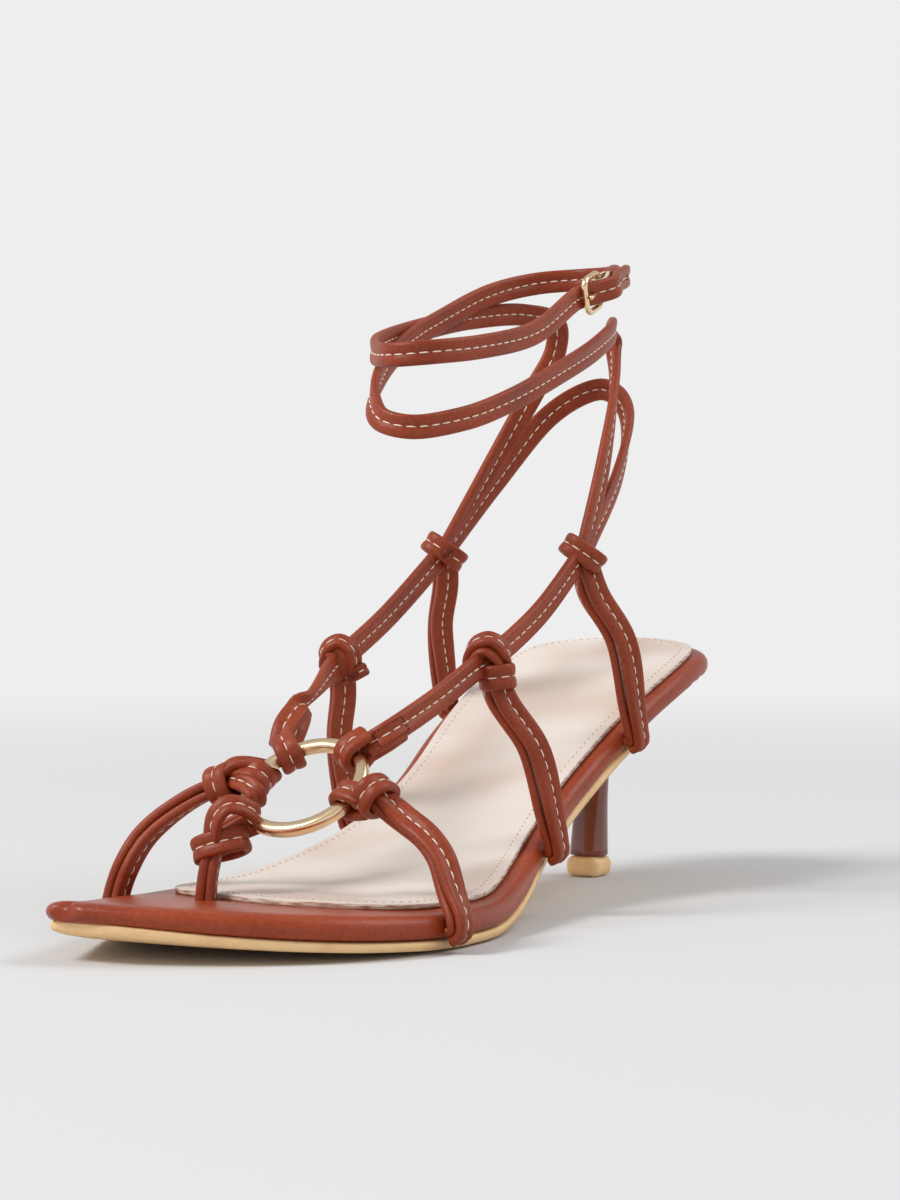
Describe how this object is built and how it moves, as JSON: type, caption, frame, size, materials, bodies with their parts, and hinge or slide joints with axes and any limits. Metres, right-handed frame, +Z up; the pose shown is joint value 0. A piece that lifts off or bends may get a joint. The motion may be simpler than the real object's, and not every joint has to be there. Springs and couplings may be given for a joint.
{
  "type": "sandal",
  "caption": "Women's tie-up sandal with knotted narrow leather straps, a metal ring over the toes, a wrapped ankle strap with buckle and a slim lacquered heel, left foot.",
  "frame": {"origin": "Middle of the heel tip's ground face, on the floor", "axes": "+Z up, the toe points to -Y, +X is the outer side of the left foot; Y is the longest extent"},
  "size_m": [0.0882, 0.225, 0.154],
  "materials": {
    "leather": "smooth leather with a soft sheen",
    "sock": "matte lining leather",
    "outsole": "plain sole leather",
    "lacquer": "glossy lacquer",
    "pale_gold": "polished pale gold plating",
    "elastic": "woven elastic"
  },
  "bodies": {
    "root": {"footbed": "leather", "insole": "sock", "outsole": "outsole", "heel_tip": "outsole", "heel": "lacquer", "ring": "pale_gold", "toe_post": "leather", "front_strap_inner": "leather", "front_strap_outer": "leather", "buckle": "pale_gold", "buckle_prong": "pale_gold", "elastic": "elastic", "tab": "leather", "upper": "leather"}
  },
  "joints": []
}
